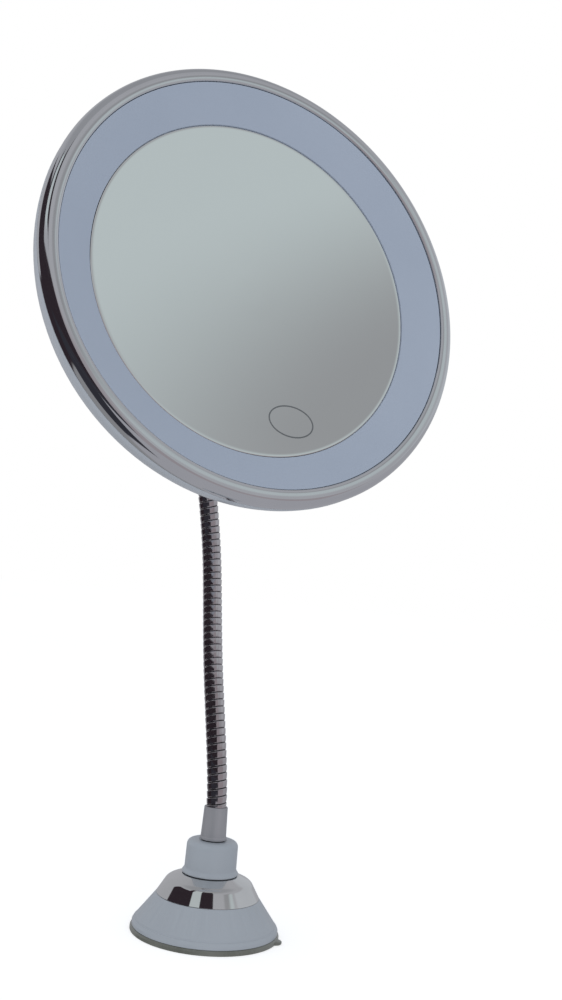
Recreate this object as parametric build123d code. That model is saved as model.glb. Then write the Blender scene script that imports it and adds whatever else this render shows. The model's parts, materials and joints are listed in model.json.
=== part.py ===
from build123d import *
import os
from math import cos, radians, sin, sqrt, tan

# Lighted shaving mirror on a gooseneck with a twist-lock suction foot. Sizes are in mm and degrees.
# The origin is the centre of the foot's underside, +Z is up and the mirror faces roughly -Y.

# ------------------------------------------------------------------ driving sizes: foot
CUP_R = 29.5
CUP_RIM = 1.9           # height of the cup's flat rim, on which the skirt stands
SKIRT_TOP_R = 20.45
SKIRT_TOP = 14.6
FLUTES = 28
COLLAR_RIDGE_R = 16.85
COLLAR_RIDGE = 20.7
COLLAR_TOP = 23.05
CORE_R = 4.5            # tube that the knob turns on
STEM_R = 2.52
KNOB_R = 10.15
KNOB_BOTTOM = 23.3
KNOB_TOP = 36.2
PIN_R = 1.2
PIN_HEIGHT = 26.0
STEM_LIFT = 2.2         # how far the stem is drawn up
KNOB_TURN = 90          # over this turn of the knob
HUB_SCREW_CIRCLE_R = 12.0

# ------------------------------------------------------------------ driving sizes: gooseneck
NECK_R = 3.95
LINK = 16.5             # from one neck joint to the next
SOCKET_GAP = 0.45       # gap between the ball end and the hollow end of neighbouring links
FIRST_JOINT = 54.0      # height of the lowest neck joint
FERRULE_BOTTOM = 36.55
FERRULE_TOP = 49.3
ANCHOR_R = 1.8
ANCHOR_BOTTOM = 34.1
FORE_TURNS = [-11, -7, -4, -1, 2, 5, 6, 8, 10, 11, 12, 12]     # turn towards the front at each joint
SIDE_TURNS = [2, -2, -2, -2, 0, 3, 6, 6, 6, 2, -4, -10]        # turn towards the left at each joint

# ------------------------------------------------------------------ driving sizes: ball joint
BALL_R = 6.5
LINER_IN_R = 6.6
LINER_OUT_R = 8.2
CAVITY_R = 8.3
STUD_R = 2.1
BALL_TO_LAST_JOINT = 27.0
BALL_BEHIND_FACE = 30.0
SOCKET_OPENING = 66     # half angle of the mouth that the stud swings in

# ------------------------------------------------------------------ driving sizes: head
FACE_AZIMUTH = 27.2     # the mirror's facing direction, turned from -Y towards +X
FACE_ELEVATION = 13.6
HEAD_R = 87.3
GLASS_R = 66.5
GLASS = 1.8
GLASS_SAG = 4.4         # depth of the magnifying curve
LIGHT_R = 80.7          # outer edge of the visible light ring
LIGHT_FRONT = 7.1       # how far the light ring's outer edge stands in front of the glass's edge
FRAME_R = 82.3
SEAM = 3.7              # where the rim meets the back shell
BACK = -24.0            # the back shell's flat centre
SHELL = 1.6
TRIM = 0.7              # thickness of the stamped rim
LED_COUNT = 24
LED_CIRCLE_R = 74.5
TOUCH_X, TOUCH_Y = 14.7, -50.9
TOUCH_LONG, TOUCH_SHORT = 9.24, 6.26
TOUCH_ANGLE = -4
SHELL_SCREW_CIRCLE_R = 60.0

# ------------------------------------------------------------------ driving sizes: batteries (AAA)
CELL_R = 5.25
CELL_LENGTH = 43.5
CELL_ROWS = [-24.6, -36.15, -47.7]
CELL_DEPTH = -16.6
WELL_HALF_WIDTH = 25.4
WELL_TOP = -18.8
WELL_BOTTOM = -53.5
WELL_FLOOR = -11.0
HUMP_HALF_WIDTH = 28.0
HUMP_TOP = -17.2
HUMP_BOTTOM = -56.0
DOOR = 1.6

# ------------------------------------------------------------------ directions and frames
UP = Vector(0, 0, 1)
FORE = Vector(sin(radians(FACE_AZIMUTH)), -cos(radians(FACE_AZIMUTH)), 0)
SIDE = Vector(cos(radians(FACE_AZIMUTH)), sin(radians(FACE_AZIMUTH)), 0)
FACING = FORE * cos(radians(FACE_ELEVATION)) + UP * sin(radians(FACE_ELEVATION))


def neck_heading(fore, left):
    """Direction of a neck length that leans by these angles from upright."""
    lean = FORE * sin(radians(fore)) + UP * cos(radians(fore))
    return lean * cos(radians(left)) - SIDE * sin(radians(left))


headings = [UP]
fore_lean = 0
left_lean = 0
for fore_turn, side_turn in zip(FORE_TURNS, SIDE_TURNS):
    fore_lean += fore_turn
    left_lean += side_turn
    headings.append(neck_heading(fore_lean, left_lean))

neck_joints = [Vector(0, 0, FIRST_JOINT)]
for heading in headings[1:-1]:
    neck_joints.append(neck_joints[-1] + heading * LINK)

stud_heading = headings[-1]
ball_centre = neck_joints[-1] + stud_heading * BALL_TO_LAST_JOINT
face_centre = ball_centre + FACING * BALL_BEHIND_FACE
# in the head's frame z is the facing direction, x runs to the head's side and y up its face
head_frame = Plane(origin=face_centre, x_dir=SIDE, z_dir=FACING)
# in the stud's frame z points away from the head, back along the stud
stud_frame = Plane(origin=ball_centre, x_dir=SIDE, z_dir=stud_heading * -1)


# ------------------------------------------------------------------ helpers
def turned(*outline):
    """Solid of revolution about Z from straight runs between (r, z) points."""
    return revolve(make_face(Plane.XZ * Polyline(*outline, close=True)), Axis.Z)


def turned_face(edges):
    """Solid of revolution about Z from lines and arcs drawn in (r, z)."""
    return revolve(make_face(Plane.XZ * edges), Axis.Z)


def rod(radius, low, high, x=0, y=0):
    """Upright cylinder between two heights."""
    return Pos(x, y, (low + high) / 2) * Cylinder(radius, high - low)


def cross_rod(radius, low, high, y=0, z=0):
    """Cylinder along X between two places."""
    return Pos((low + high) / 2, y, z) * Rot(0, 90, 0) * Cylinder(radius, high - low)


def block(x, y, z):
    """Box between pairs of limits."""
    middle = [(limits[0] + limits[1]) / 2 for limits in (x, y, z)]
    return Pos(*middle) * Box(x[1] - x[0], y[1] - y[0], z[1] - z[0])


def around(piece, count, radius, start=0):
    """Copies of a piece evenly spaced on a circle about Z."""
    return [Rot(0, 0, start + 360 * i / count) * Pos(radius, 0, 0) * piece for i in range(count)]


def cone_about_z(half_angle, reach):
    """Solid cone that opens along +Z from its tip at the origin."""
    return turned((0, 0), (reach * tan(radians(half_angle)), reach), (0, reach))


# ------------------------------------------------------------------ foot
def suction_cup():
    body = turned(
        (0, 2.2), (14, 1.4), (26, 0), (CUP_R, 0), (CUP_R, 1.2), (28.9, CUP_RIM), (25.5, CUP_RIM),
        (9.5, 4.3), (8.5, 4.5), (8.5, 7.6), (2.8, 7.6), (2.8, 6.5), (7.1, 6.5), (7.1, 4.9), (0, 4.9),
    )
    tab = Rot(0, 0, -15) * (block((27.5, 30.2), (-3.5, 3.5), (0.1, 1.2)) + rod(3.2, 0.1, 1.2, x=28.4))
    return body + tab


def skirt_flutes():
    """Shallow hollows down the skirt's cone."""
    run = 7.15
    rise = 9.5
    slope = sqrt(run * run + rise * rise)
    out = Vector(rise / slope, 0, run / slope)
    cutter_r = 2.2
    middle = Vector(24.05, 0, 9.8) + out * (cutter_r - 0.16)
    along = Vector(-run / slope, 0, rise / slope)
    cutter = Plane(origin=middle, z_dir=along) * Cylinder(cutter_r, 8.4)
    return [Rot(0, 0, 360 * i / FLUTES) * cutter for i in range(FLUTES)]


def base_skirt():
    body = turned(
        (26.6, 1.95), (28.9, 1.95), (28.9, 3.3), (28.3, 4.4), (27.75, 4.6), (27.6, 5.1),
        (SKIRT_TOP_R, SKIRT_TOP), (8.0, SKIRT_TOP), (8.0, 12.8), (19.4, 12.8), (25.6, 4.6), (26.6, 3.4),
    )
    body -= skirt_flutes()
    return body - around(rod(1.2, 12, 15), 3, HUB_SCREW_CIRCLE_R)


def base_hub():
    body = turned(
        (6.2, 10.2), (7.8, 10.2), (7.8, SKIRT_TOP + 0.05), (16.0, SKIRT_TOP + 0.05), (16.0, 16.8),
        (CORE_R, 16.8), (CORE_R, 36.4), (NECK_R, 36.4), (NECK_R, 42.0), (ANCHOR_R + 0.05, 42.0),
        (ANCHOR_R + 0.05, 34.0), (0, 34.0), (0, 33.0), (2.6, 33.0), (2.6, 14.6), (6.2, 14.6),
    )
    slot = block((-6, 6), (-PIN_R - 0.05, PIN_R + 0.05), (PIN_HEIGHT - 1.3, PIN_HEIGHT + STEM_LIFT + 1.3))
    return body - slot - around(rod(1.1, 14, 16.2), 3, HUB_SCREW_CIRCLE_R)


def hub_screws():
    screw = rod(2.0, 11.3, 12.8) + rod(1.1, 12.8, 16.1) - block((-1.4, 1.4), (-0.3, 0.3), (11.2, 11.9))
    return Compound(children=around(screw, 3, HUB_SCREW_CIRCLE_R))


def draw_stem():
    body = turned((0, 5.0), (7.0, 5.0), (7.0, 6.4), (STEM_R, 6.4), (STEM_R, 30.4), (0, 30.4))
    return body - cross_rod(PIN_R, -5, 5, z=PIN_HEIGHT)


def cross_pin():
    return cross_rod(PIN_R, -6.8, 6.8, z=PIN_HEIGHT)


def return_spring():
    path = Pos(0, 0, 8.05) * Helix(pitch=2.0, height=6.0, radius=4.6)
    wire = Plane(origin=path @ 0, z_dir=path % 0) * Circle(0.4)
    return sweep(wire, path)


def chrome_collar():
    return turned(
        (19.3, SKIRT_TOP + 0.05), (SKIRT_TOP_R, SKIRT_TOP + 0.05), (COLLAR_RIDGE_R, COLLAR_RIDGE),
        (11.7, 22.9), (11.0, COLLAR_TOP), (8.2, COLLAR_TOP), (8.2, 22.1), (11.2, 21.9), (16.1, 19.9),
    )


def knob_washer():
    return turned((4.6, 16.8), (7.2, 16.8), (7.2, 17.2), (4.6, 17.2))


def lock_knob():
    outline = make_face(Plane.XZ * Polyline(
        (4.58, 17.25), (7.2, 17.25), (7.2, 34.2), (8.6, 34.2), (8.6, 25.0), (9.7, KNOB_BOTTOM),
        (11.3, KNOB_BOTTOM), (11.3, 23.9), (KNOB_R + 0.15, 25.0), (KNOB_R, KNOB_TOP), (4.58, KNOB_TOP),
        close=True,
    ))
    corner = outline.vertices().group_by(Axis.Z)[-1].sort_by(Axis.X)[-1]
    body = revolve(fillet(corner, 2.0), Axis.Z)
    cam = [
        Rot(0, 0, -turn) * cross_rod(PIN_R + 0.15, -7.7, 7.7, z=PIN_HEIGHT + STEM_LIFT * turn / KNOB_TURN)
        for turn in range(0, KNOB_TURN + 1, 5)
    ]
    return body - cam


def lower_ferrule():
    return turned(
        (NECK_R + 0.05, FERRULE_BOTTOM), (5.35, FERRULE_BOTTOM), (5.35, 37.3), (5.05, 37.7),
        (4.65, FERRULE_TOP), (NECK_R + 0.05, FERRULE_TOP),
    )


def neck_anchor():
    return rod(ANCHOR_R, ANCHOR_BOTTOM, 50.0)


# ------------------------------------------------------------------ gooseneck
def neck_length(start, direction, length, ball_end=True, hollow_end=True):
    """One stiff length of the neck: a hollow end at its start and a ball end at the next joint."""
    hollow_r = NECK_R + SOCKET_GAP
    edge = sqrt(hollow_r * hollow_r - NECK_R * NECK_R) if hollow_end else 0
    body = rod(NECK_R, edge, length)
    if ball_end:
        body += Pos(0, 0, length) * Sphere(NECK_R)
    if hollow_end:
        body -= Sphere(hollow_r)
    return Plane(origin=start, x_dir=SIDE, z_dir=direction) * body


def neck_lengths():
    low = 42.05
    first = neck_length(Vector(0, 0, low), UP, FIRST_JOINT - low, hollow_end=False)
    lengths = [first - rod(ANCHOR_R + 0.05, 42, 50.2)]
    for joint, heading in zip(neck_joints[:-1], headings[1:-1]):
        lengths.append(neck_length(joint, heading, LINK))
    last = neck_length(neck_joints[-1], stud_heading, BALL_TO_LAST_JOINT - 20.2, ball_end=False)
    lengths.append(last)
    return lengths


# ------------------------------------------------------------------ ball joint
def upper_ferrule():
    return stud_frame * turned(
        (STUD_R + 0.06, 14.5), (5.1, 14.5), (5.1, 15.3), (4.85, 15.7), (4.6, 24.5), (NECK_R + 0.05, 24.5),
        (NECK_R + 0.05, 20.0), (3.15, 20.0), (3.15, 18.4), (STUD_R + 0.06, 18.4),
    )


def ball_stud():
    shank = rod(STUD_R, 5, 18.6) + rod(3.0, 18.5, 19.7) + rod(3.1, 13.0, 14.3)
    return stud_frame * (Sphere(BALL_R) + shank)


def turned_about_ball(piece, axis, angle):
    """A piece turned about an axis through the ball's centre."""
    return piece.rotate(Axis(ball_centre, axis), angle)


def ball_liner():
    liner = stud_frame * (Sphere(LINER_OUT_R) - Sphere(LINER_IN_R))
    mouth = stud_frame * cone_about_z(27, 12)
    for pan in range(-24, 25, 6):
        liner -= turned_about_ball(mouth, head_frame.y_dir, pan)
    for angle in (45, 135):
        liner -= stud_frame * Rot(0, 0, angle) * Pos(0, 0, 5) * Box(0.8, 20, 7)
    return liner


def socket_housing():
    body = turned(
        (0, -20.2), (17, -20.2), (17, -22.15), (11.2, -22.15), (11.2, -31.0), (0, -31.0),
    )
    body -= Pos(0, 0, -BALL_BEHIND_FACE) * Sphere(CAVITY_R)
    return head_frame * (body - around(rod(1.2, -23, -20), 3, 14.2, start=90))


def socket_cap():
    mouth_reach = -35.5 + BALL_BEHIND_FACE
    body = turned(
        (0, -31.05), (11.3, -31.05), (11.3, -28.7), (15.6, -28.7), (15.6, -31.6), (12.9, -35.5), (0, -35.5),
    )
    body -= Pos(0, 0, -BALL_BEHIND_FACE) * Sphere(CAVITY_R)
    mouth = Pos(0, 0, -BALL_BEHIND_FACE) * Rot(180, 0, 0) * cone_about_z(SOCKET_OPENING, 1 - mouth_reach)
    return head_frame * (body - mouth)


def socket_screws():
    screw = rod(2.0, -20.2, -19.0) + rod(1.0, -26.0, -20.2)
    return head_frame * Compound(children=around(screw, 3, 14.2, start=90))


# ------------------------------------------------------------------ head
def glass_curve_r():
    """Radius of the magnifying curve, from the glass's radius and sag."""
    return (GLASS_R * GLASS_R + GLASS_SAG * GLASS_SAG) / (2 * GLASS_SAG)


def glass_z(radius):
    """Height of the glass's front at a distance from its centre."""
    curve = glass_curve_r()
    return curve - GLASS_SAG - sqrt(curve * curve - radius * radius)


def mirror_glass():
    half = GLASS_R / 2
    front = ThreePointArc((0, glass_z(0)), (half, glass_z(half)), (GLASS_R, 0))
    edge = Line((GLASS_R, 0), (GLASS_R, -GLASS))
    back = ThreePointArc((GLASS_R, -GLASS), (half, glass_z(half) - GLASS), (0, glass_z(0) - GLASS))
    middle = Line((0, glass_z(0) - GLASS), (0, glass_z(0)))
    return head_frame * turned_face(front + edge + back + middle)


def touch_mark():
    """Thin oval line printed on the glass over the touch switch."""
    line = 0.45
    ring = Ellipse(TOUCH_LONG + line / 2, TOUCH_SHORT + line / 2)
    ring -= Ellipse(TOUCH_LONG - line / 2, TOUCH_SHORT - line / 2)
    column = extrude(Pos(TOUCH_X, TOUCH_Y, -6) * Rot(0, 0, TOUCH_ANGLE) * ring, 8)
    curve = glass_curve_r()
    centre = Pos(0, 0, curve - GLASS_SAG)
    skin = centre * Sphere(curve - 0.01) - centre * Sphere(curve - 0.09)
    return head_frame * (column & skin)


def light_frame():
    """White carrier for the glass, the LED board and the diffuser."""
    body = turned(
        (0, -8.2), (68.2, -8.2), (68.2, -3.9), (FRAME_R, -3.9), (FRAME_R, 3.5), (FRAME_R - 1.2, 3.5),
        (FRAME_R - 1.2, -2.8), (68.2, -2.8), (68.2, -0.5), (66.65, -0.5), (66.65, -1.85), (62.5, -2.4),
        (62.5, -3.5), (66.9, -3.2), (66.9, -7.1), (0, -7.1),
    )
    body += rod(5, -7.5, -5.3, x=TOUCH_X, y=TOUCH_Y)
    body += around(rod(3, -11.5, -8.0), 4, SHELL_SCREW_CIRCLE_R, start=45)
    body -= around(rod(1.0, -12, -8.0), 4, SHELL_SCREW_CIRCLE_R, start=45)
    body -= [rod(0.9, -5, -2, x=x, y=70.5) for x in (-2, 2)]
    return head_frame * body


def diffuser_ring():
    """Frosted ring that slopes forward from the glass to the rim."""
    return head_frame * turned(
        (66.75, 0.3), (LIGHT_R, LIGHT_FRONT), (LIGHT_R, 5.2), (83.2, 5.2), (83.2, 3.55), (79.0, 3.55),
        (79.0, 4.7), (69.3, 0.0), (68.4, -0.45), (66.75, -0.45),
    )


def front_rim():
    hem_r = LIGHT_R + 0.2
    lip = ThreePointArc((hem_r, LIGHT_FRONT + 0.3), (82.7, 7.9), (84.7, 8.05))
    brow = ThreePointArc((84.7, 8.05), (86.65, 7.05), (HEAD_R, 5.1))
    side = Polyline((HEAD_R, 5.1), (HEAD_R, SEAM + 0.1), (HEAD_R - TRIM, SEAM + 0.1), (HEAD_R - TRIM, 5.1))
    inside = ThreePointArc((HEAD_R - TRIM, 5.1), (86.05, 6.55), (84.6, 8.05 - TRIM))
    inside += ThreePointArc((84.6, 8.05 - TRIM), (82.9, 7.2), (hem_r + TRIM, 6.8))
    hem = Polyline((hem_r + TRIM, 6.8), (hem_r + TRIM, 5.3), (hem_r, 5.3), (hem_r, LIGHT_FRONT + 0.3))
    return head_frame * turned_face(lip + brow + side + inside + hem)


def shell_dish():
    """The back shell's round dish, without its hump or boss."""
    outer = Line((HEAD_R, SEAM), (87.2, 1.2)) + ThreePointArc((87.2, 1.2), (86.1, -3.4), (84.2, -8.0))
    outer += ThreePointArc((84.2, -8.0), (82.5, -10.2), (79.4, -11.9))
    outer += ThreePointArc((79.4, -11.9), (56, -19.3), (28, BACK)) + Line((28, BACK), (0, BACK))
    centre = Line((0, BACK), (0, BACK + SHELL)) + Line((0, BACK + SHELL), (27.6, BACK + SHELL))
    inner = ThreePointArc((27.6, BACK + SHELL), (55.6, -17.75), (78.7, -10.4))
    inner += ThreePointArc((78.7, -10.4), (81.2, -9.1), (82.7, -7.4))
    inner += ThreePointArc((82.7, -7.4), (84.4, -3.1), (85.2, 0.6))
    tongue = Polyline((85.2, 0.6), (85.2, 4.9), (86.4, 4.9), (86.4, SEAM), (HEAD_R, SEAM))
    return turned_face(outer + centre + inner + tongue)


def back_shell():
    hump_x = (-HUMP_HALF_WIDTH, HUMP_HALF_WIDTH)
    hump = block(hump_x, (HUMP_BOTTOM, HUMP_TOP), (BACK, -12.4))
    hump = fillet(hump.edges().filter_by(Axis.Z), 5.0)
    hump = chamfer(hump.edges().group_by(Axis.Z)[0], 0.8)
    lining = block((-26.9, 26.9), (-55.0, -17.2), (-22.4, -9.8))
    boss = rod(17.5, -28.5, -22.3)
    screw_bosses = around(rod(3.6, -17.3, -12.0), 4, SHELL_SCREW_CIRCLE_R, start=45)
    body = shell_dish() + hump + lining + boss + screw_bosses

    well = block((-WELL_HALF_WIDTH, WELL_HALF_WIDTH), (WELL_BOTTOM, WELL_TOP), (-25, WELL_FLOOR))
    track = block((-WELL_HALF_WIDTH, WELL_HALF_WIDTH), (-60, WELL_TOP), (-25, BACK + DOOR + 0.2))
    grooves = block((-26.9, 26.9), (-60, WELL_TOP), (-23.6, BACK + DOOR + 0.2))
    body -= [well, track, grooves, rod(11.3, -30, -20)]
    body -= around(rod(1.0, -26.5, -20), 3, 14.2, start=90)
    body -= around(rod(2.5, -20, -13.4), 4, SHELL_SCREW_CIRCLE_R, start=45)
    body -= around(rod(1.3, -14, -9), 4, SHELL_SCREW_CIRCLE_R, start=45)
    return head_frame * body


def shell_screws():
    screw = rod(2.2, -14.7, -13.4) + rod(1.0, -13.4, -9.2)
    screw -= block((-1.6, 1.6), (-0.3, 0.3), (-14.8, -14.1)) + block((-0.3, 0.3), (-1.6, 1.6), (-14.8, -14.1))
    return head_frame * Compound(children=around(screw, 4, SHELL_SCREW_CIRCLE_R, start=45))


def battery_door():
    """Sliding cover with side tongues and grip ridges."""
    face = block((-25.15, 25.15), (HUMP_BOTTOM, WELL_TOP - 0.2), (BACK, BACK + DOOR))
    face = fillet(face.edges().filter_by(Axis.Z).group_by(Axis.Y)[0], 2.0)
    tongues = block((-26.65, 26.65), (HUMP_BOTTOM + 5, WELL_TOP - 0.2), (-23.4, BACK + DOOR))
    ridges = [block((-8, 8), (y, y + 1.2), (BACK - 0.6, BACK + 0.1)) for y in (-50, -47.2, -44.4, -41.6)]
    return head_frame * (face + tongues + ridges)


# ------------------------------------------------------------------ inside the head
def led_board():
    return head_frame * (rod(80.0, -2.75, -1.8) - rod(69.0, -3, -1))


def leds():
    led = block((-1.4, 1.4), (-1.75, 1.75), (-1.8, -0.9))
    return head_frame * Compound(children=around(led, LED_COUNT, LED_CIRCLE_R))


def touch_pad():
    return head_frame * rod(7, -5.3, -4.5, x=TOUCH_X, y=TOUCH_Y)


def mirror_tape():
    return head_frame * turned((10, -7.1), (25, -7.1), (25, -5.75), (10, -6.2))


def control_board():
    board = block((-17, 17), (22, 42), (-9.4, -8.2))
    driver = block((-4, 4), (28, 34), (-10.8, -9.4))
    inductor = block((8, 14), (27, 33), (-12.2, -9.4))
    capacitor = block((-14, -9), (33, 37), (-11.4, -9.4))
    return head_frame * (board + driver + inductor + capacitor)


def battery_leads():
    leads = [Pos(x, 2.4, -9.0) * Rot(90, 0, 0) * Cylinder(0.6, 38.8) for x in (-7, 7)]
    return head_frame * Compound(children=leads)


def led_leads():
    leads = []
    for x in (-2, 2):
        path = FilletPolyline((x, 42.2, -9.1), (x, 70.5, -9.1), (x, 70.5, -2.85), radius=2.5)
        leads.append(sweep(Plane(origin=path @ 0, z_dir=path % 0) * Circle(0.6), path))
    return head_frame * Compound(children=leads)


def cell():
    return cross_rod(CELL_R, -21.7, CELL_LENGTH - 21.7) + cross_rod(1.9, CELL_LENGTH - 21.8, 22.8)


def cell_spring():
    plate = block((-25.3, -24.9), (-4, 4), (-4, 4))
    coils = [(-24.5, 3.6), (-23.75, 3.1), (-23.0, 2.6), (-22.25, 2.1)]
    for x, radius in coils:
        plate += Pos(x, 0, 0) * Rot(0, 90, 0) * Torus(radius, 0.5)
    return plate


def cell_plate():
    return block((24.9, 25.3), (-4, 4), (-4, 4)) + cross_rod(2.2, 22.85, 25.0)


def in_rows(piece):
    """A battery piece in each row, turned end for end in the middle one."""
    placed = []
    for row, y in enumerate(CELL_ROWS):
        placed.append(Pos(0, y, CELL_DEPTH) * Rot(0, 0, 180 * (row % 2)) * piece)
    return placed


# ------------------------------------------------------------------ write every piece
pieces = {
    "suction_cup": suction_cup(),
    "base_skirt": base_skirt(),
    "base_hub": base_hub(),
    "hub_screws": hub_screws(),
    "draw_stem": draw_stem(),
    "cross_pin": cross_pin(),
    "return_spring": return_spring(),
    "chrome_collar": chrome_collar(),
    "knob_washer": knob_washer(),
    "lock_knob": lock_knob(),
    "lower_ferrule": lower_ferrule(),
    "neck_anchor": neck_anchor(),
    "upper_ferrule": upper_ferrule(),
    "ball_stud": ball_stud(),
    "ball_liner": ball_liner(),
    "socket_housing": socket_housing(),
    "socket_cap": socket_cap(),
    "socket_screws": socket_screws(),
    "mirror_glass": mirror_glass(),
    "touch_mark": touch_mark(),
    "light_frame": light_frame(),
    "diffuser_ring": diffuser_ring(),
    "front_rim": front_rim(),
    "back_shell": back_shell(),
    "shell_screws": shell_screws(),
    "battery_door": battery_door(),
    "led_board": led_board(),
    "leds": leds(),
    "touch_pad": touch_pad(),
    "mirror_tape": mirror_tape(),
    "control_board": control_board(),
    "battery_leads": battery_leads(),
    "led_leads": led_leads(),
    "battery_springs": head_frame * Compound(children=in_rows(cell_spring())),
    "battery_plates": head_frame * Compound(children=in_rows(cell_plate())),
}
for number, length in enumerate(neck_lengths(), start=1):
    pieces[f"neck_link_{number:02d}"] = length
for number, battery in enumerate(in_rows(cell()), start=1):
    pieces[f"battery_{number}"] = head_frame * battery

os.makedirs("parts", exist_ok=True)
for name, piece in pieces.items():
    export_step(piece, f"parts/{name}.step")

print("face centre", face_centre)
print("ball centre", ball_centre)
for number, joint in enumerate(neck_joints, start=1):
    print("neck joint", number, joint)
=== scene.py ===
import json
from math import atan2, ceil, cos, pi, radians, sin, sqrt, tan

import bpy
from mathutils import Matrix, Vector


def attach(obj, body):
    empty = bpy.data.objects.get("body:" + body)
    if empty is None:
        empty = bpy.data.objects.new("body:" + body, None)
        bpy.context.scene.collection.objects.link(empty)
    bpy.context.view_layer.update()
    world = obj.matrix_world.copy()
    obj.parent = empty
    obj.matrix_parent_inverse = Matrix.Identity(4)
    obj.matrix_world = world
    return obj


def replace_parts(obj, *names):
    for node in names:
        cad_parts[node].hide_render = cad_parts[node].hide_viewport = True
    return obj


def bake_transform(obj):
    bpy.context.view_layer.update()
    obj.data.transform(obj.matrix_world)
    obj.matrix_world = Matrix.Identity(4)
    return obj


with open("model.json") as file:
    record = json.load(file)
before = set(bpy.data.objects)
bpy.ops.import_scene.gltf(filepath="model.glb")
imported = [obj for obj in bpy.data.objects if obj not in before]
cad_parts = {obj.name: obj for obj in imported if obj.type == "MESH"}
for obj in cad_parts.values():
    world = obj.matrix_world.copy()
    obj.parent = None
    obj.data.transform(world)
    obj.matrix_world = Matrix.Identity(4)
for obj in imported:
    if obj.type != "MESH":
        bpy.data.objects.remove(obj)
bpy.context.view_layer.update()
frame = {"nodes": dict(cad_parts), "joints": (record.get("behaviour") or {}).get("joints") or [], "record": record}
nodes = frame["nodes"]
joints = {joint["name"]: joint for joint in frame["joints"]}
scene = bpy.context.scene

# Lengths in the outlines below are in millimetres; MM turns them into the frame's metres.
MM = 0.001

# ------------------------------------------------------------------ frames of the head and the ball
FACE_AHEAD = 30  # the mirror's middle, ahead of the ball
ball = Vector(joints["head_tilt"]["pos_m"])
side = Vector(joints["head_tilt"]["axis"])
face_up = Vector(joints["head_pan"]["axis"])
facing = side.cross(face_up)
stud = Vector(joints["head_spin"]["axis"])
face_centre = ball + facing * FACE_AHEAD * MM


def placed(origin, x_dir, z_dir):
    """Matrix from an outline in millimetres to the row frame."""
    y_dir = z_dir.cross(x_dir).normalized()
    x_dir = y_dir.cross(z_dir).normalized()
    turn = Matrix((x_dir, y_dir, z_dir.normalized())).transposed()
    return Matrix.Translation(origin) @ turn.to_4x4() @ Matrix.Scale(MM, 4)


HEAD = placed(face_centre, side, facing)
STUD = placed(ball, side, -stud)
FOOT = Matrix.Scale(MM, 4)

# ------------------------------------------------------------------ camera
CAMERA_AT = (0.0, -0.48464, 0.14705)
CAMERA_YAW = -1.665
CAMERA_PITCH = 3.09
CAMERA_ROLL = 5.45
CAMERA_LENS = 43.3
camera_data = bpy.data.cameras.new("camera")
camera_data.lens = CAMERA_LENS
camera_data.clip_start = 0.01
camera = bpy.data.objects.new("camera", camera_data)
scene.collection.objects.link(camera)
look = Matrix.Rotation(radians(CAMERA_YAW), 4, "Z") @ Matrix.Rotation(radians(90 + CAMERA_PITCH), 4, "X")
camera.matrix_world = Matrix.Translation(CAMERA_AT) @ look @ Matrix.Rotation(radians(CAMERA_ROLL), 4, "Z")
scene.camera = camera


# ------------------------------------------------------------------ node helpers
def make_node(tree, kind, inputs=None, **settings):
    node = tree.nodes.new(kind)
    for name, value in settings.items():
        setattr(node, name, value)
    for key, value in (inputs or {}).items():
        if isinstance(value, bpy.types.NodeSocket):
            tree.links.new(value, node.inputs[key])
        else:
            node.inputs[key].default_value = value
    return node


def math_node(tree, operation, a, b=0.0):
    return make_node(tree, "ShaderNodeMath", {0: a, 1: b}, operation=operation).outputs[0]


def step_up(tree, value, low, high):
    """0 below low, 1 above high, smooth between."""
    found = make_node(
        tree, "ShaderNodeMapRange", {"Value": value, "From Min": low, "From Max": high},
        interpolation_type="SMOOTHSTEP",
    )
    return found.outputs["Result"]


def mix_colour(tree, factor, a, b):
    found = make_node(tree, "ShaderNodeMix", {0: factor, 6: a, 7: b}, data_type="RGBA")
    return found.outputs[2]


# ------------------------------------------------------------------ surroundings
def rgba(r, g, b):
    return (r, g, b, 1.0)


def between(tree, value, low, high, edge):
    """1 between low and high, 0 outside them, smooth over edge on both sides."""
    above = math_node(tree, "SUBTRACT", 1.0, step_up(tree, value, high - edge, high + edge))
    return math_node(tree, "MULTIPLY", step_up(tree, value, low - edge, low + edge), above)


def window(tree, azimuth, elevation, left, right, low, high, edge):
    """1 inside a patch of the surroundings given in degrees, 0 outside it."""
    inside = between(tree, azimuth, left, right, edge)
    return math_node(tree, "MULTIPLY", inside, between(tree, elevation, low, high, edge))


ROOM_LOW = rgba(0.38, 0.38, 0.41)
ROOM = rgba(0.42, 0.425, 0.45)
ZENITH = rgba(0.325, 0.332, 0.352)
PALE_WALL = rgba(0.50, 0.55, 0.565)
SHADED_CEILING = rgba(0.315, 0.32, 0.335)
WALL_SLOPE = 0.4
WALL_PATCH = (48, 73, 26, 43, 3)
WARM_GREY = rgba(0.345, 0.315, 0.335)
PALE_SIDE = rgba(0.50, 0.52, 0.55)
DULL_FLOOR = rgba(0.28, 0.28, 0.29)
DARK_PANEL = rgba(0.030, 0.022, 0.028)
DARK_LEDGE = rgba(0.035, 0.035, 0.045)
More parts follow.
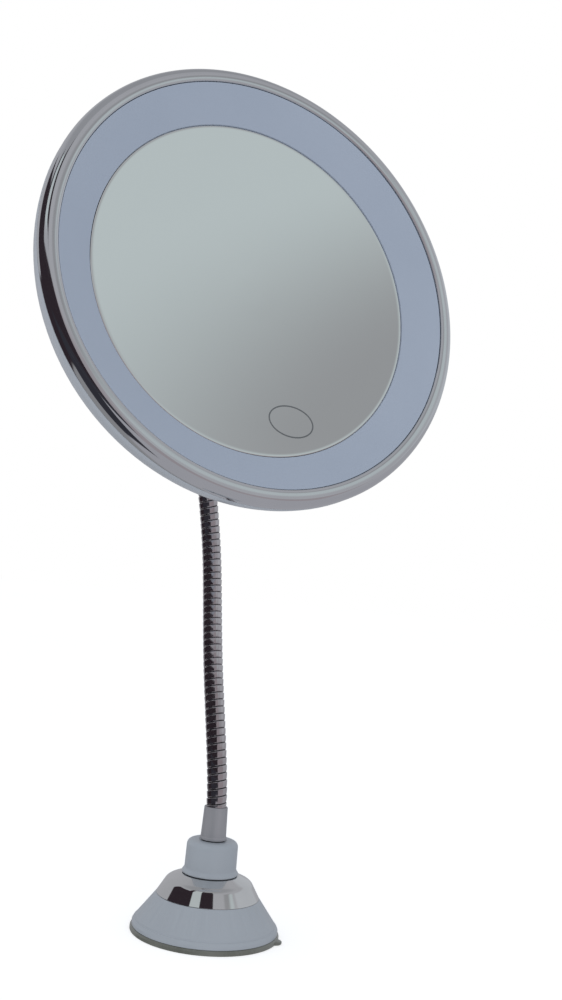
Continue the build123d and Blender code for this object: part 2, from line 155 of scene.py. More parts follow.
# Left, right, low, high and soft edge in degrees, and colour; a later patch covers an earlier one. They
# were fitted until the chrome and the mirror looked as they do in the photo, from the photo's own view. They
# stand for no real room, and nothing says that what they put in other views is right.
PATCHES = [
    (12, 75, -20, 10, 3.0, WARM_GREY),
    (12, 46, -20, 33, 3.0, WARM_GREY),
    (80, 172, 4, 37, 4.0, PALE_SIDE),
    (-168, -68, -60, -10, 4.0, DULL_FLOOR),
    (-104, -45, -10, 47, 1.2, DARK_PANEL),
    (-125, -45, -26, 5, 1.2, DARK_PANEL),
    (-68, -8, -58, -14, 1.5, DARK_LEDGE),
    (-68, 15, -15, -3, 1.5, DARK_LEDGE),
    (-58, 12, -4, 60, 0.8, DARK_PANEL),
    (-44, 13, 29, 39.5, 0.8, rgba(0.40, 0.405, 0.43)),
    (8, 17, 38, 60, 0.8, DARK_PANEL),
    (-45, -19, 37, 60, 0.8, rgba(0.52, 0.57, 0.58)),
]
DAYLIGHT_LEFT = rgba(0.54, 0.56, 0.59)
DAYLIGHT_RIGHT = rgba(0.40, 0.42, 0.45)


def build_world():
    world = bpy.data.worlds.new("studio")
    world.use_nodes = True
    scene.world = world
    tree = world.node_tree
    tree.nodes.clear()
    direction = make_node(tree, "ShaderNodeTexCoord").outputs["Generated"]
    axes = make_node(tree, "ShaderNodeSeparateXYZ", {0: direction})
    behind = math_node(tree, "MULTIPLY", axes.outputs["Y"], -1.0)
    azimuth = math_node(tree, "DEGREES", math_node(tree, "ARCTAN2", axes.outputs["X"], behind))
    elevation = math_node(tree, "DEGREES", math_node(tree, "ARCSINE", axes.outputs["Z"]))

    # what polished surfaces see: even grey, duller overhead, with the fitted patches over it
    seen = mix_colour(tree, step_up(tree, elevation, -30, 10), ROOM_LOW, ROOM)
    seen = mix_colour(tree, step_up(tree, elevation, 46, 66), seen, ZENITH)
    # the upper half of the mirror sees a pale wall and its lower half a shaded ceiling, with a slanting edge
    slant = math_node(tree, "SUBTRACT", elevation, math_node(tree, "MULTIPLY", azimuth, WALL_SLOPE))
    wall = mix_colour(tree, step_up(tree, slant, 10.2, 16.0), PALE_WALL, SHADED_CEILING)
    seen = mix_colour(tree, window(tree, azimuth, elevation, *WALL_PATCH), seen, wall)
    for left, right, low, high, edge, colour in PATCHES:
        patch = window(tree, azimuth, elevation, left, right, low, high, edge)
        seen = mix_colour(tree, patch, seen, colour)

    # what lights dull surfaces: an even, slightly blue daylight, a little stronger from the left
    across = step_up(tree, axes.outputs["X"], -1.0, 1.0)
    soft = mix_colour(tree, across, DAYLIGHT_LEFT, DAYLIGHT_RIGHT)

    path = make_node(tree, "ShaderNodeLightPath")
    light = mix_colour(tree, path.outputs["Is Glossy Ray"], soft, seen)
    light = mix_colour(tree, path.outputs["Is Camera Ray"], light, rgba(1.0, 1.0, 1.0))
    background = make_node(tree, "ShaderNodeBackground", {"Color": light})
    output = make_node(tree, "ShaderNodeOutputWorld")
    tree.links.new(background.outputs[0], output.inputs[0])


build_world()
scene.view_settings.view_transform = "Standard"


def add_light(name, size, power, colour, at, towards):
    data = bpy.data.lights.new(name, "AREA")
    data.size = size
    data.energy = power
    data.color = colour
    light = bpy.data.objects.new(name, data)
    scene.collection.objects.link(light)
    aim = (Vector(towards) - Vector(at)).to_track_quat("-Z", "Y")
    light.matrix_world = Matrix.Translation(at) @ aim.to_matrix().to_4x4()
    light.visible_glossy = False


KEY_AT = (0.15, -0.95, 0.3)
KEY_TOWARDS = (0, 0, 0.15)
add_light("key", 0.5, 1.0, (0.96, 0.98, 1.0), KEY_AT, KEY_TOWARDS)


# ------------------------------------------------------------------ materials
def new_material(name):
    material = bpy.data.materials.new(name)
    material.use_nodes = True
    tree = material.node_tree
    tree.nodes.clear()
    shader = make_node(tree, "ShaderNodeBsdfPrincipled")
    output = make_node(tree, "ShaderNodeOutputMaterial")
    tree.links.new(shader.outputs[0], output.inputs[0])
    return material, tree, shader


def noise(tree, scale, detail=3.0, stretch=None):
    """Noise in the object's own metres, optionally stretched along an axis."""
    coordinates = make_node(tree, "ShaderNodeTexCoord").outputs["Object"]
    if stretch:
        mapping = make_node(tree, "ShaderNodeMapping", {"Vector": coordinates, "Scale": stretch})
        coordinates = mapping.outputs[0]
    texture = make_node(tree, "ShaderNodeTexNoise", {"Vector": coordinates, "Scale": scale, "Detail": detail})
    return texture.outputs["Fac"]


NOISE_LOW = 0.3
NOISE_HIGH = 0.7
TINT_LOW = 0.32
TINT_HIGH = 0.68


def spread(tree, value, low, high):
    """Maps a noise's middle range onto low to high."""
    found = make_node(
        tree, "ShaderNodeMapRange",
        {"Value": value, "From Min": NOISE_LOW, "From Max": NOISE_HIGH, "To Min": low, "To Max": high},
    )
    return found.outputs["Result"]


def tint(tree, value, dark, light):
    """Colour between two shades by a noise."""
    ramp = make_node(tree, "ShaderNodeValToRGB", {"Fac": value})
    ramp.color_ramp.elements[0].position = TINT_LOW
    ramp.color_ramp.elements[0].color = rgba(*dark)
    ramp.color_ramp.elements[1].position = TINT_HIGH
    ramp.color_ramp.elements[1].color = rgba(*light)
    return ramp.outputs["Color"]


def add_bump(tree, shader, height, strength, distance):
    bump = make_node(
        tree, "ShaderNodeBump", {"Height": height, "Strength": strength, "Distance": distance})
    tree.links.new(bump.outputs["Normal"], shader.inputs["Normal"])


BROAD_SHARE = 0.6
FINE_SHARE = 0.4


def surface(name, dark, light, metal=0.0, rough=(0.3, 0.4), blotch=45.0, grain=900.0, bump=0.1,
            depth=0.00002, stretch=None, coat=0.0, coat_rough=0.1):
    """A finished surface: colour drifts between two shades, and roughness and relief vary."""
    material, tree, shader = new_material(name)
    shader.inputs["Metallic"].default_value = metal
    broad = noise(tree, blotch, 4.0, stretch)
    fine = noise(tree, grain, 3.0, stretch)
    tree.links.new(tint(tree, broad, dark, light), shader.inputs["Base Color"])
    most = math_node(tree, "MULTIPLY", broad, BROAD_SHARE)
    both = math_node(tree, "ADD", most, math_node(tree, "MULTIPLY", fine, FINE_SHARE))
    tree.links.new(spread(tree, both, rough[0], rough[1]), shader.inputs["Roughness"])
    add_bump(tree, shader, fine, bump, depth)
    if coat:
        shader.inputs["Coat Weight"].default_value = coat
        shader.inputs["Coat Roughness"].default_value = coat_rough
    return material


MATERIALS = {
    "mirror_face": surface("mirror_silver", (0.875, 0.90, 0.89), (0.895, 0.915, 0.905), 1.0, (0.015, 0.03),
                           blotch=9.0, grain=60.0, bump=0.0),
    "bright_rim": surface("plated_rim", (0.72, 0.73, 0.75), (0.78, 0.79, 0.81), 1.0, (0.05, 0.11),
                          blotch=22.0, grain=420.0, bump=0.03),
    "collar_chrome": surface("collar_chrome", (0.74, 0.74, 0.74), (0.80, 0.80, 0.80), 1.0, (0.03, 0.07),
                             blotch=60.0, grain=900.0, bump=0.02),
    "gooseneck_chrome": surface("gooseneck_chrome", (0.55, 0.52, 0.535), (0.66, 0.63, 0.645), 1.0,
                                (0.07, 0.18), blotch=260.0, grain=1500.0, bump=0.05),
    "groove_shadow": surface("groove_shadow", (0.020, 0.018, 0.020), (0.035, 0.032, 0.035), 0.3, (0.5, 0.7)),
    "ferrule_steel": surface("ferrule_steel", (0.42, 0.42, 0.44), (0.50, 0.49, 0.51), 0.15, (0.38, 0.52),
                             blotch=300.0, grain=1400.0, bump=0.12, stretch=(1.0, 1.0, 0.06)),
    "white_plastic": surface("white_plastic", (0.550, 0.592, 0.640), (0.582, 0.623, 0.671), 0.0, (0.28, 0.40),
                             blotch=30.0, grain=1300.0, bump=0.10, coat=0.25, coat_rough=0.16),
    # a paler copy of white_plastic, partly painted light for the shell's side turned away from the lamps
    "shell_plastic": surface("shell_plastic", (0.66, 0.70, 0.755), (0.69, 0.73, 0.785), 0.0, (0.26, 0.38),
                             blotch=24.0, grain=1100.0, bump=0.12, coat=0.25, coat_rough=0.14),
    "frosted_plastic": surface("frosted_plastic", (0.570, 0.645, 0.770), (0.594, 0.668, 0.793), 0.0,
                               (0.42, 0.55), blotch=26.0, grain=1700.0, bump=0.16, depth=0.00001),
    "cup_rubber": surface("cup_rubber", (0.19, 0.195, 0.165), (0.27, 0.275, 0.24), 0.0, (0.22, 0.36),
                          blotch=70.0, grain=700.0, bump=0.15, coat=0.5, coat_rough=0.12),
    "grey_plastic": surface("grey_plastic", (0.050, 0.050, 0.055), (0.075, 0.075, 0.080), 0.0, (0.45, 0.6),
                            grain=1500.0, bump=0.25),
    "inner_plastic": surface("inner_plastic", (0.55, 0.57, 0.60), (0.60, 0.62, 0.65), 0.0, (0.4, 0.55)),
    "screw_steel": surface("screw_steel", (0.42, 0.42, 0.43), (0.58, 0.58, 0.58), 1.0, (0.25, 0.42),
                           blotch=500.0, grain=2500.0, bump=0.2),
    "spring_steel": surface("spring_steel", (0.46, 0.46, 0.47), (0.60, 0.60, 0.60), 1.0, (0.2, 0.34),
                            blotch=500.0, grain=2500.0),
    "stud_steel": surface("stud_steel", (0.56, 0.56, 0.57), (0.68, 0.68, 0.69), 1.0, (0.10, 0.22),
                          blotch=300.0, grain=1800.0),
    "nylon": surface("nylon", (0.60, 0.60, 0.57), (0.68, 0.68, 0.65), 0.0, (0.35, 0.5)),
    "core_wire": surface("core_wire", (0.46, 0.46, 0.47), (0.58, 0.58, 0.58), 1.0, (0.35, 0.5)),
    "mark_ink": surface("mark_ink", (0.16, 0.17, 0.175), (0.21, 0.22, 0.225), 0.0, (0.35, 0.5), grain=3000.0),
    "white_board": surface("white_board", (0.60, 0.60, 0.58), (0.66, 0.66, 0.64), 0.0, (0.3, 0.45)),
    "led_lens": surface("led_lens", (0.62, 0.56, 0.22), (0.72, 0.66, 0.30), 0.0, (0.1, 0.2), coat=0.6),
    "copper_pad": surface("copper_pad", (0.50, 0.24, 0.13), (0.62, 0.33, 0.19), 1.0, (0.25, 0.4)),
    "foam_tape": surface("foam_tape", (0.018, 0.018, 0.019), (0.03, 0.03, 0.032), 0.0, (0.8, 0.95), bump=0.5),
    "green_board": surface("green_board", (0.012, 0.08, 0.03), (0.02, 0.11, 0.045), 0.0, (0.3, 0.45),
                           coat=0.4),
    "red_lead": surface("red_lead", (0.30, 0.015, 0.012), (0.36, 0.02, 0.016), 0.0, (0.35, 0.5)),
    "white_lead": surface("white_lead", (0.60, 0.60, 0.60), (0.66, 0.66, 0.66), 0.0, (0.35, 0.5)),
    "contact_plate": surface("contact_plate", (0.50, 0.49, 0.46), (0.62, 0.61, 0.57), 1.0, (0.2, 0.35)),
    "cell_jacket": surface("cell_jacket", (0.05, 0.055, 0.065), (0.07, 0.075, 0.085), 0.6, (0.25, 0.4),
                           blotch=120.0, coat=0.5),
}

# the white pieces behind the head get a paler copy of the white plastic; part of that paleness is painted light,
# brightening the shell's strip that faces away from the lamps
BRIGHTENED_NODES = ("back_shell", "socket_cap", "battery_door")
slot_of = {entry["node"]: entry["material_slot"] for entry in frame["record"]["subparts"]}
for name, node in nodes.items():
    kind = "shell_plastic" if name in BRIGHTENED_NODES else slot_of[name]
    node.data.materials.clear()
    node.data.materials.append(MATERIALS[kind])


# ------------------------------------------------------------------ mesh helpers
def add_mesh(name, points, faces, material, smooth_angle=None):
    mesh = bpy.data.meshes.new(name)
    mesh.from_pydata([tuple(point) for point in points], [], faces)
    mesh.materials.append(MATERIALS[material])
    mesh.shade_smooth()
    if smooth_angle:
        mesh.set_sharp_from_angle(angle=radians(smooth_angle))
    mesh.update()
    piece = bpy.data.objects.new(name, mesh)
    scene.collection.objects.link(piece)
    return piece


def turned(arm, angle):
    return Vector((arm.x * cos(angle) - arm.y * sin(angle), arm.x * sin(angle) + arm.y * cos(angle)))


def angle_from(a, b):
    """Signed angle from flat vector a to flat vector b."""
    return atan2(a.x * b.y - a.y * b.x, a.dot(b))


REACH_SHARE = 0.48  # how much of an edge one rounded corner may take
FLAT_GUARD = 1.12  # an extra point this far out keeps the flat beside a rounding flat


def rounded(corners, steps=7):
    """Closed outline of (r, z, rounding) corners, with each corner rounded and flats kept flat."""
    outline = []
    count = len(corners)
    for i, (x, z, size) in enumerate(corners):
        here = Vector((x, z))
        before = Vector(corners[i - 1][:2]) - here
        after = Vector(corners[(i + 1) % count][:2]) - here
        if size <= 0:
            outline.append(here)
            continue
        a = before.normalized()
        b = after.normalized()
        half = a.angle(b) / 2
        reach = min(size / tan(half), REACH_SHARE * before.length, REACH_SHARE * after.length)
        radius = reach * tan(half)
        centre = here + (a + b).normalized() * (radius / sin(half))
        start = here + a * reach - centre
        end = here + b * reach - centre
        sweep = angle_from(start, end)
        outline.append(here + a * min(reach * FLAT_GUARD, reach + 0.5 * (before.length / 2 - reach)))
        outline += [centre + turned(start, sweep * k / steps) for k in range(steps + 1)]
        outline.append(here + b * min(reach * FLAT_GUARD, reach + 0.5 * (after.length / 2 - reach)))
    return outline


ON_AXIS = 1e-6
LATHE_SMOOTH = 32


def lathe(name, outline, place, material, body, segments=192, shape=None):
    """Solid of revolution from a closed (r, z) outline. shape(point, angle) may move a point in or out.
    With no body the piece is left free."""
    points = []
    rings = []
    for r, z in outline:
        if abs(r) < ON_AXIS:
            rings.append([len(points)])
            points.append(place @ Vector((0, 0, z)))
            continue
        ring = []
        for k in range(segments):
            angle = 2 * pi * k / segments
            here = Vector((r, 0, z))
            if shape:
                here = shape(here, angle)
            ring.append(len(points))
            points.append(place @ Vector((here.x * cos(angle), here.x * sin(angle), here.z)))
        rings.append(ring)
    faces = []
    for low, high in zip(rings, rings[1:] + rings[:1]):
        if len(low) == 1 and len(high) == 1:
            continue
        for k in range(segments):
            n = (k + 1) % segments
            if len(low) == 1:
                faces.append((low[0], high[n], high[k]))
            elif len(high) == 1:
                faces.append((low[k], low[n], high[0]))
            else:
                faces.append((low[k], low[n], high[n], high[k]))
    piece = add_mesh(name, points, faces, material, LATHE_SMOOTH)
    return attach(piece, body) if body else piece


def arc(a, b, c, steps):
    """Points on the circle through three (r, z) points, from the first to the last."""
    ax, ay = a
    bx, by = b
    cx, cy = c
    d = 2 * (ax * (by - cy) + bx * (cy - ay) + cx * (ay - by))
    aa = ax * ax + ay * ay
    bb = bx * bx + by * by
    cc = cx * cx + cy * cy
    middle = Vector((
        (aa * (by - cy) + bb * (cy - ay) + cc * (ay - by)) / d,
        (aa * (cx - bx) + bb * (ax - cx) + cc * (bx - ax)) / d,
    ))
    start = Vector(a) - middle
    sweep = angle_from(start, Vector(c) - middle)
    via = angle_from(start, Vector(b) - middle)
    if via * sweep < 0:
        sweep -= 2 * pi * (1 if sweep > 0 else -1)
    return [middle + turned(start, sweep * k / steps) for k in range(steps + 1)]


def build_cup():
    """The cup, with its middle standing higher than its rim."""
    outline = rounded([
        (0, 3.1, 0), (8, 3.0, 3), (14, 2.1, 3), (26, 0, 1), (29.5, 0.0, 0.25), (29.5, 1.2, 0.3),
        (28.9, 1.9, 0.3), (25.5, 1.9, 0.3), (9.5, 4.3, 1), (8.5, 4.5, 0.5), (8.5, 7.6, 0.4), (2.8, 7.6, 0.2),
        (2.8, 6.5, 0), (7.1, 6.5, 0), (7.1, 4.9, 0), (0, 4.9, 0),
    ])
    cup = lathe("cup", outline, FOOT, "cup_rubber", None)
    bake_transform(cup)
    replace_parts(cup, "suction_cup")


TAB_AT = 28.4
TAB_R = 3.1
TAB_TURN = -15
TAB_LEVELS = ((0.12, 0.25), (0.5, 0.0), (1.0, 0.0), (1.2, 0.25))  # height, and how far the edge is drawn in


def build_tab():
    """The half-round pull tab at the cup's edge."""
    steps = 24
    wide = steps + 1
    turn = Matrix.Rotation(radians(TAB_TURN), 4, "Z")
    points = []
    for z, inset in TAB_LEVELS:
        reach = TAB_R - inset
        for k in range(wide):
            angle = radians(-90 + 180 * k / steps)
            here = Vector((TAB_AT + reach * cos(angle), reach * sin(angle), z))
            points.append(FOOT @ (turn @ here))
    starts = [wide * row for row in range(len(TAB_LEVELS) - 1)]
    faces = [(a + k, a + k + 1, a + k + wide + 1, a + k + wide) for a in starts for k in range(steps)]
    faces += [tuple(range(steps, -1, -1)), tuple(range(starts[-1] + wide, starts[-1] + 2 * wide))]
    faces += [(a + steps, a, a + wide, a + wide + steps) for a in starts]
    tab = add_mesh("cup_tab", points, faces, "cup_rubber", 40)
    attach(tab, "base")


CONE_LOW = 5.3
CONE_HIGH = 14.5
CONE_INNER = 20
FLUTES = 28
FLUTE_DEPTH = 0.17
FLUTE_FADE = 1.2
CONE_FACING = Vector((9.5, 0, 7.15)).normalized()


def fluted(here, angle):
    """Shallow hollows down the skirt's cone, fading out at both ends."""
    if not CONE_LOW < here.z < CONE_HIGH or here.x < CONE_INNER:
        return here
    fade = min(1.0, (here.z - CONE_LOW) / FLUTE_FADE, (CONE_HIGH - here.z) / FLUTE_FADE)
    fade = fade * fade * (3 - 2 * fade)
    wave = max(0.0, cos(FLUTES * angle)) ** 2
    return here - CONE_FACING * FLUTE_DEPTH * wave * fade


def build_skirt():
    outline = rounded([
        (26.6, 1.95, 0.1), (28.9, 1.95, 0.3), (28.9, 3.3, 0.9), (28.3, 4.4, 0.7), (27.75, 4.6, 0.35),
        (27.6, 5.1, 0.4), (20.45, 14.6, 0.15), (8.0, 14.6, 0), (8.0, 12.8, 0), (19.4, 12.8, 0),
        (25.6, 4.6, 0), (26.6, 3.4, 0),
    ])
    # the long outer slope gets rings enough for the flutes
    cuts = 16
    dense = []
    for a, b in zip(outline, outline[1:] + outline[:1]):
        dense.append(a)
        if (b - a).length > 5 and a.x > 22 and b.y > a.y:
            dense += [a.lerp(b, t / cuts) for t in range(1, cuts)]
    skirt = lathe("skirt", dense, FOOT, "white_plastic", "base", 12 * FLUTES, fluted)
    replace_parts(skirt, "base_skirt")


SPRING_TURNS = 3
SPRING_LOW = 8.05
SPRING_HEIGHT = 6.0
SPRING_R = 4.6
SPRING_WIRE_R = 0.4


def build_spring():
    """The coiled spring round the stem."""
    steps = 40 * SPRING_TURNS
    wide = 12
    points = []
    faces = []
    for k in range(steps + 1):
        turn = 2 * pi * SPRING_TURNS * k / steps
        out = Vector((cos(turn), sin(turn), 0))
        middle = out * SPRING_R + Vector((0, 0, SPRING_LOW + SPRING_HEIGHT * k / steps))
        for n in range(wide):
            around = 2 * pi * n / wide
            arm = out * cos(around) + Vector((0, 0, sin(around)))
            points.append(FOOT @ (middle + arm * SPRING_WIRE_R))
            if k < steps:
                a = k * wide + n
                b = k * wide + (n + 1) % wide
                faces.append((a, a + wide, b + wide, b))
    faces += [tuple(range(wide)), tuple(range(steps * wide + wide - 1, steps * wide - 1, -1))]
    spring = add_mesh("stem_spring", points, faces, "spring_steel", 50)
    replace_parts(spring, "return_spring")
    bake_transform(spring)


def build_collar():
    outline = rounded([
        (19.3, 14.65, 0), (20.45, 14.65, 0.12), (16.85, 20.7, 4.0), (11.7, 22.9, 0.5), (11.0, 23.05, 0.2),
        (8.2, 23.05, 0.1), (8.2, 22.1, 0), (11.2, 21.9, 0), (16.1, 19.9, 0),
    ])
    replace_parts(lathe("collar", outline, FOOT, "collar_chrome", "base"), "chrome_collar")


def build_knob():
    outline = rounded([
        (4.58, 17.25, 0), (7.2, 17.25, 0), (7.2, 34.2, 0), (8.6, 34.2, 0), (8.6, 25.0, 0), (9.7, 23.3, 0.1),
        (11.2, 23.3, 0.25), (11.2, 23.9, 0.4), (10.3, 25.2, 1.6), (10.15, 36.2, 2.2), (5.6, 36.2, 0.25),
        (4.58, 36.0, 0.1),
    ])
    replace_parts(lathe("knob", outline, FOOT, "white_plastic", "knob"), "lock_knob")


def build_lower_ferrule():
    outline = rounded([
        (4.0, 36.55, 0), (5.35, 36.55, 0.15), (5.35, 37.3, 0.25), (5.05, 37.8, 0.3), (4.65, 49.3, 0.45),
        (4.0, 49.3, 0.2),
    ])
    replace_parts(lathe("ferrule", outline, FOOT, "ferrule_steel", "base", 96), "lower_ferrule")


build_cup()
build_tab()
build_skirt()
build_spring()
build_collar()
build_knob()
build_lower_ferrule()

# ------------------------------------------------------------------ gooseneck
NECK_R = 4.1
PITCH = 2.88
NECK_START = 42.5  # up the foot, hidden in the lower ferrule
FIRST_END = 48.7  # up the foot, where the first length starts to bend
LAST_END = 3.4  # beyond the last joint, where the last length stops bending
NECK_STOP = 6.8  # beyond the last joint, hidden in the upper ferrule
CURVE_STEPS = 120
NECK_SIDES = 44
ROWS_PER_TURN = 24

# a turn of the spiral runs from -1 to 1 across its band, with half a groove at each end
BAND_LEAN = 0.12
BAND_CROWN = 0.04
GROOVE_START = 0.78
GROOVE_SLOPE = 0.18
GROOVE_DEPTH = 0.34
GROOVE_DARK = 0.90


def across_band(phase):
    return (phase % 1.0) * 2 - 1


def rib(phase):
    """Outer radius over one turn of the spiral: a flat band, a little wider at its top, then a groove."""
    across = across_band(phase)
    groove = min(1.0, max(0.0, (abs(across) - GROOVE_START) / GROOVE_SLOPE))
    band = NECK_R - BAND_LEAN * (1 - across) - BAND_CROWN * across ** 2
    return band - GROOVE_DEPTH * groove * groove * (3 - 2 * groove)


def bezier(a, b, c, t):
    return a * (1 - t) ** 2 + b * 2 * t * (1 - t) + c * t * t


def neck_path(k, points, ends):
    """Centre line of one length: a curve round its joint. The first and last have a straight end too."""
    path = [Vector((0, 0, NECK_START * MM))] if k == 0 else []
    path += [bezier(ends[k], points[k], ends[k + 1], i / CURVE_STEPS) for i in range(CURVE_STEPS + 1)]
    if k == len(points) - 1:
        path.append(points[-1] + stud * NECK_STOP * MM)
    return path


def even_stops(path, step):
    """Evenly spaced stops along a path: the distance gone, the place and the direction at each."""
    lengths = [0.0]
    for a, b in zip(path, path[1:]):
        lengths.append(lengths[-1] + (b - a).length)
    rows = ceil(lengths[-1] / step)
    stops = []
    at = 0
    for row in range(rows + 1):
        gone = lengths[-1] * row / rows
        while at < len(lengths) - 2 and lengths[at + 1] < gone:
            at += 1
        share = (gone - lengths[at]) / (lengths[at + 1] - lengths[at])
        direction = path[min(at + 2, len(path) - 1)] - path[max(at - 1, 0)]
        stops.append((gone, path[at].lerp(path[at + 1], share), direction.normalized()))
    return stops


def neck_faces(rows, travelled, length):
    """Side faces of one length, and which of them lie in the groove."""
    faces = []
    grooves = []
    for row in range(rows):
        a = row * NECK_SIDES
        for u in range(NECK_SIDES):
            n = (u + 1) % NECK_SIDES
            phase = (travelled + length * (row + 0.5) / rows) / (PITCH * MM) - (u + 0.5) / NECK_SIDES
            if abs(across_band(phase)) > GROOVE_DARK:
                grooves.append(len(faces))
            faces.append((a + u, a + n, a + NECK_SIDES + n, a + NECK_SIDES + u))
    return faces, grooves


def build_neck():
    """Twelve lengths, each a fixed curve round its joint, between the two bodies that the joint joins."""
    neck_joints = (joint for joint in frame["joints"] if joint["name"].startswith("neck_"))
    ordered = sorted(neck_joints, key=lambda joint: joint["child"])
    points = [Vector(joint["pos_m"]) for joint in ordered]
    middles = [(a + b) / 2 for a, b in zip(points, points[1:])]
    ends = [Vector((0, 0, FIRST_END * MM))] + middles + [points[-1] + stud * LAST_END * MM]
    up = Vector((1, 0, 0))
    travelled = 0.0
    last = len(ordered) - 1
    for k, joint in enumerate(ordered):
        stops = even_stops(neck_path(k, points, ends), PITCH * MM / ROWS_PER_TURN)
        rows = len(stops) - 1
        length = stops[-1][0]
        verts = []
        for gone, here, direction in stops:
            up = (up - direction * up.dot(direction)).normalized()
            right = direction.cross(up)
            for u in range(NECK_SIDES):
                angle = 2 * pi * u / NECK_SIDES
                phase = (travelled + gone) / (PITCH * MM) - u / NECK_SIDES
                verts.append(here + (up * cos(angle) + right * sin(angle)) * (rib(phase) * MM))
        faces, grooves = neck_faces(rows, travelled, length)
        if k == 0:
            faces.append(tuple(range(NECK_SIDES - 1, -1, -1)))
        if k == last:
            faces.append(tuple(range(rows * NECK_SIDES, (rows + 1) * NECK_SIDES)))
        piece = add_mesh("gooseneck_%02d" % (k + 1), verts, faces, "gooseneck_chrome")
        piece.data.materials.append(MATERIALS["groove_shadow"])
        for index in grooves:
            piece.data.polygons[index].material_index = 1
        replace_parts(piece, "neck_link_%02d" % (k + 1), *(["neck_link_13"] if k == last else []))
        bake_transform(piece)
        travelled += length


def build_upper_ferrule():
    outline = rounded([
        (2.16, 14.5, 0), (5.1, 14.5, 0.15), (5.1, 15.3, 0.25), (4.85, 15.8, 0.3), (4.6, 24.5, 0.45),
        (4.0, 24.5, 0.2), (4.0, 20.0, 0), (3.15, 20.0, 0), (3.15, 18.4, 0), (2.16, 18.4, 0),
    ])
    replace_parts(lathe("upper_collar", outline, STUD, "ferrule_steel", "neck_13", 96), "upper_ferrule")


build_neck()
build_upper_ferrule()

# ------------------------------------------------------------------ head
GLASS_R = 66.5
GLASS_FLAT_R = 66.0  # the polished edge starts here
GLASS_SAG = 4.4
GLASS_THICK = 1.8
GLASS_CURVE = (GLASS_R ** 2 + GLASS_SAG ** 2) / (2 * GLASS_SAG)


def glass_z(r):
    """Height of the hollow mirror face at a distance from its middle."""
    return GLASS_CURVE - GLASS_SAG - sqrt(GLASS_CURVE * GLASS_CURVE - r * r)


def build_mirror():
    front_rings = (0, 4, 8, 14, 20, 26, 32, 38, 44, 50, 55, 60, 63, 65, GLASS_FLAT_R)
    front = [Vector((r, glass_z(r))) for r in front_rings]
    edge = [
        Vector((66.3, glass_z(GLASS_FLAT_R) + 0.01)), Vector((GLASS_R, -0.12)),
        Vector((GLASS_R, -GLASS_THICK + 0.2)), Vector((66.3, -GLASS_THICK - 0.03)),
    ]
    back = [Vector((r, glass_z(r) - GLASS_THICK)) for r in (GLASS_FLAT_R, 55, 40, 20, 0)]
    mirror = lathe("mirror", front + edge + back, HEAD, "mirror_face", "head", 256)
    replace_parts(mirror, "mirror_glass")


MARK_X, MARK_Y = 14.7, -50.9
MARK_HALF_WIDTH = 9.24
MARK_HALF_HEIGHT = 6.26
MARK_LINE_HALF = 0.27
MARK_TILT = -4
MARK_LIFT = 0.03


def build_touch_mark():
    """The printed oval of the touch switch, just above the glass."""
    steps = 128
    tilt = radians(MARK_TILT)
    points = []
    for k in range(steps):
        turn = 2 * pi * k / steps
        for shift in (-MARK_LINE_HALF, MARK_LINE_HALF):
            x = (MARK_HALF_WIDTH + shift) * cos(turn)
            y = (MARK_HALF_HEIGHT + shift) * sin(turn)
            px = MARK_X + x * cos(tilt) - y * sin(tilt)
            py = MARK_Y + x * sin(tilt) + y * cos(tilt)
            points.append(HEAD @ Vector((px, py, glass_z(sqrt(px * px + py * py)) + MARK_LIFT)))
    count = len(points)
    faces = [(2 * k, 2 * k + 1, (2 * k + 3) % count, (2 * k + 2) % count) for k in range(steps)]
    mark = add_mesh("touch_ring", points, faces, "mark_ink")
    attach(mark, "head")
    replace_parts(mark, "touch_mark")


def build_diffuser():
    outline = rounded([
        (66.78, 0.35, 0.35), (80.72, 7.5, 0.2), (80.72, 5.2, 0), (83.2, 5.2, 0), (83.2, 3.55, 0),
        (79.0, 3.55, 0), (79.0, 4.7, 0), (69.3, 0.0, 0), (68.4, -0.45, 0), (66.78, -0.45, 0),
    ])
    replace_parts(lathe("light_ring", outline, HEAD, "frosted_plastic", "head", 256), "diffuser_ring")


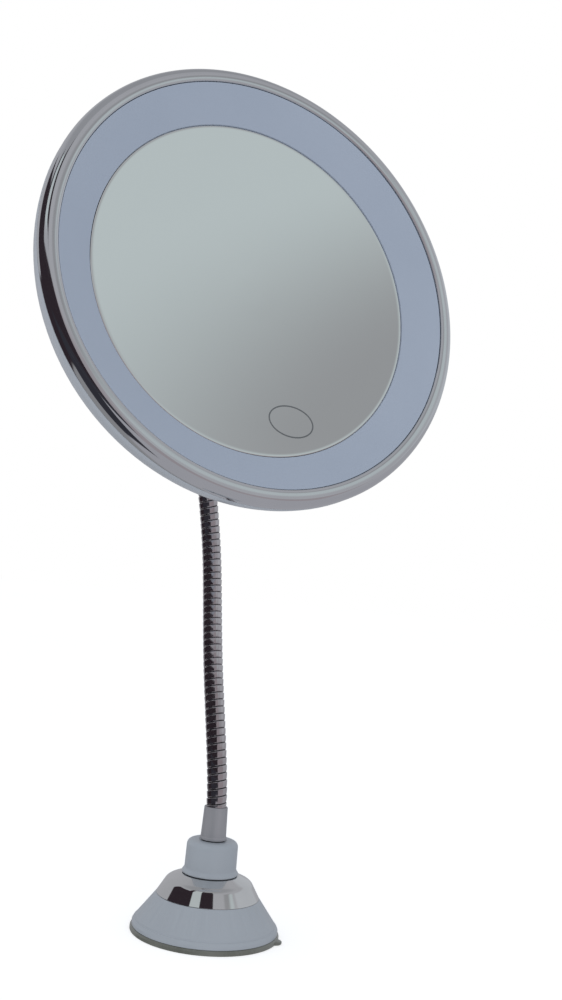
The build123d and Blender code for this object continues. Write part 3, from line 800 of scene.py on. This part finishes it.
def build_rim():
    inner_lip = [
        (80.88, 7.3), (80.9, 7.55), (81.0, 7.72), (81.35, 7.86), (82.2, 7.99), (83.0, 8.05), (83.8, 8.03),
    ]
    outer_edge = [(87.26, 4.4), (87.3, 4.15), (87.28, 3.95), (87.15, 3.8), (86.65, 3.8), (86.65, 5.1)]
    hem = [(81.6, 5.3), (80.9, 5.3), (80.9, 7.1)]
    outline = [Vector(point) for point in inner_lip]
    outline += arc((84.15, 8.0), (84.55, 7.96), (84.9, 7.83), 6)
    outline += arc((84.9, 7.83), (86.42, 6.58), (87.18, 4.8), 18)[1:]
    outline += [Vector(point) for point in outer_edge]
    outline += arc((86.65, 5.1), (86.05, 6.55), (84.6, 7.35), 8)[1:]
    outline += arc((84.6, 7.35), (82.9, 7.2), (81.6, 6.8), 5)[1:]
    outline += [Vector(point) for point in hem]
    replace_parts(lathe("rim", outline, HEAD, "bright_rim", "head", 288), "front_rim")


build_mirror()
build_touch_mark()
build_diffuser()
build_rim()

# ------------------------------------------------------------------ floor
FLOOR_REACH = 4.0
FLOOR_GLOW = 0.62


def floor_material():
    """Pale and slightly glowing from above, and clear from below, so that the underside can be looked at."""
    material, tree, shader = new_material("floor")
    shader.inputs["Roughness"].default_value = 0.9
    shader.inputs["Specular IOR Level"].default_value = 0.0
    drift = noise(tree, 0.8, 2.0)
    shade = tint(tree, drift, (0.80, 0.80, 0.80), (0.83, 0.83, 0.83))
    tree.links.new(shade, shader.inputs["Base Color"])
    shader.inputs["Emission Color"].default_value = rgba(1, 1, 1)
    shader.inputs["Emission Strength"].default_value = FLOOR_GLOW
    below = make_node(tree, "ShaderNodeNewGeometry").outputs["Backfacing"]
    clear = make_node(tree, "ShaderNodeBsdfTransparent").outputs[0]
    either = make_node(tree, "ShaderNodeMixShader", {0: below, 1: shader.outputs[0], 2: clear})
    output = next(node for node in tree.nodes if node.type == "OUTPUT_MATERIAL")
    tree.links.new(either.outputs[0], output.inputs["Surface"])
    return material


def build_floor():
    reach = FLOOR_REACH
    corners = [(-reach, -reach, 0), (reach, -reach, 0), (reach, reach, 0), (-reach, reach, 0)]
    mesh = bpy.data.meshes.new("floor")
    mesh.from_pydata(corners, [], [(0, 1, 2, 3)])
    mesh.materials.append(floor_material())
    floor = bpy.data.objects.new("floor", mesh)
    scene.collection.objects.link(floor)
    floor.visible_diffuse = False
    floor.visible_glossy = False


build_floor()
